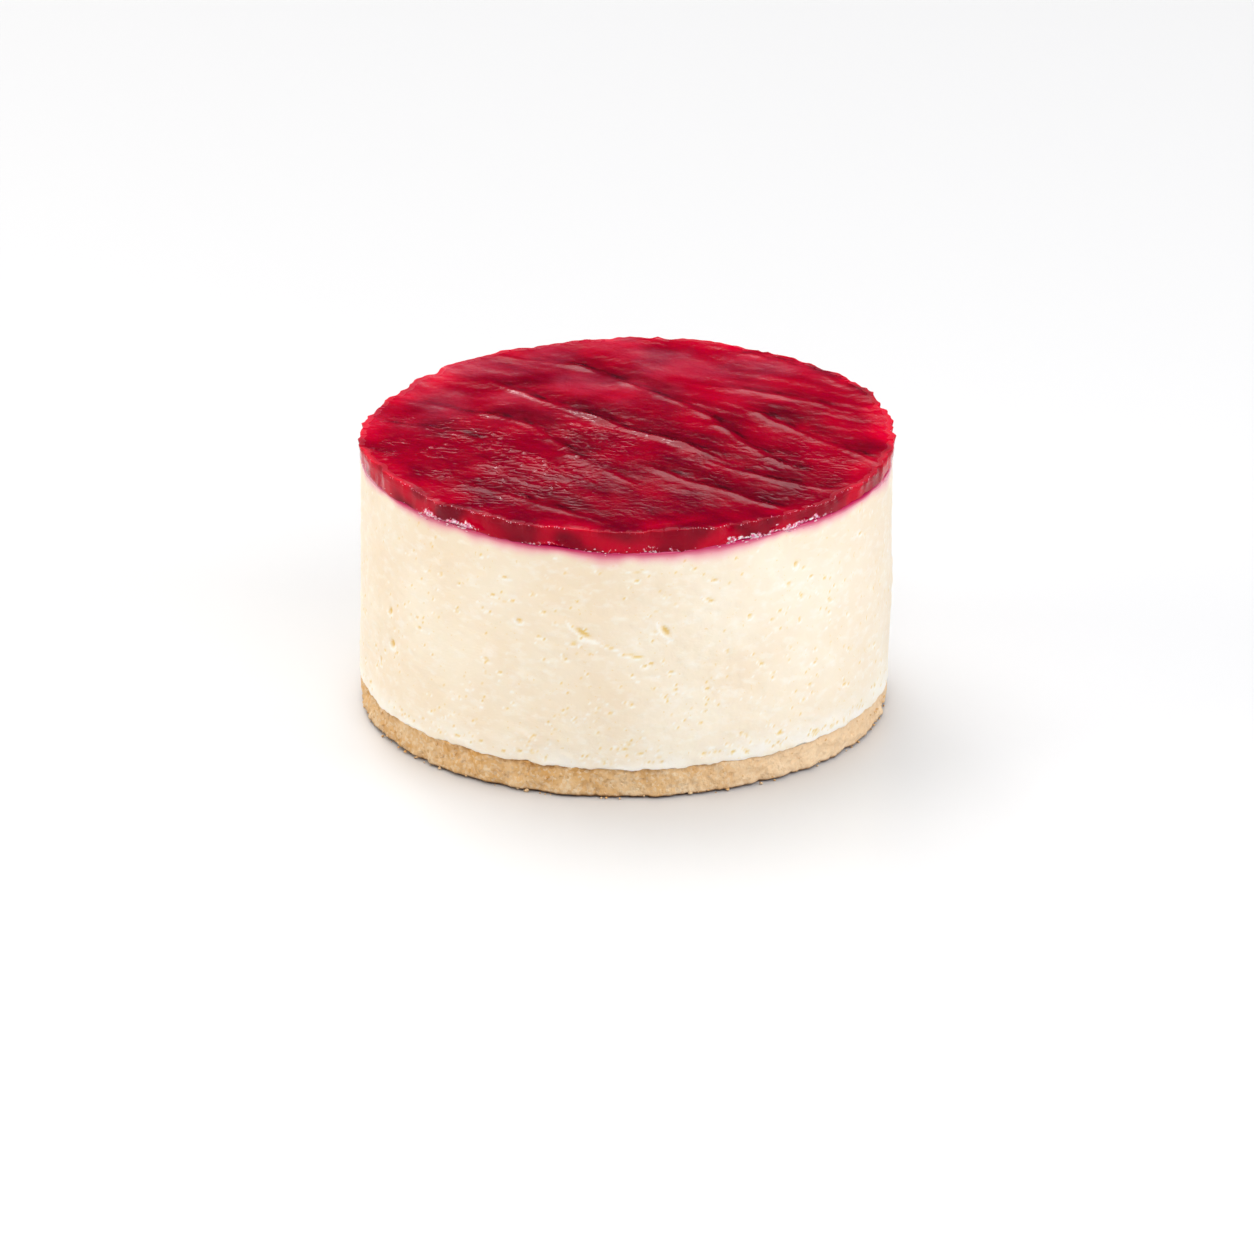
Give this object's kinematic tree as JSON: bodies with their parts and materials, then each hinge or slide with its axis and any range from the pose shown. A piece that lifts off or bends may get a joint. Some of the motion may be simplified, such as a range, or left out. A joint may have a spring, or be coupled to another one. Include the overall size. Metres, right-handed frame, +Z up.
{
  "type": "individual cheesecake",
  "caption": "Small round baked cheesecake: a pressed biscuit base, a thick pale cream cheese filling and a glossy, furrowed red berry jelly on top.",
  "frame": {"origin": "middle of the underside, on the surface that the cake stands on", "axes": "+Z up through the layers, -Y towards the side seen from the front, +X to its right"},
  "size_m": [0.0755, 0.0754, 0.0411],
  "materials": {
    "biscuit_crumb": "pressed biscuit crumb, pale golden, matt and rough",
    "cream_cheese": "baked cream cheese, ivory, smooth with fine air holes, satin",
    "berry_jelly": "set berry jelly, deep red, wet gloss"
  },
  "bodies": {
    "root": {"biscuit_base": "biscuit_crumb", "cheese_filling": "cream_cheese", "berry_jelly": "berry_jelly"}
  },
  "joints": []
}
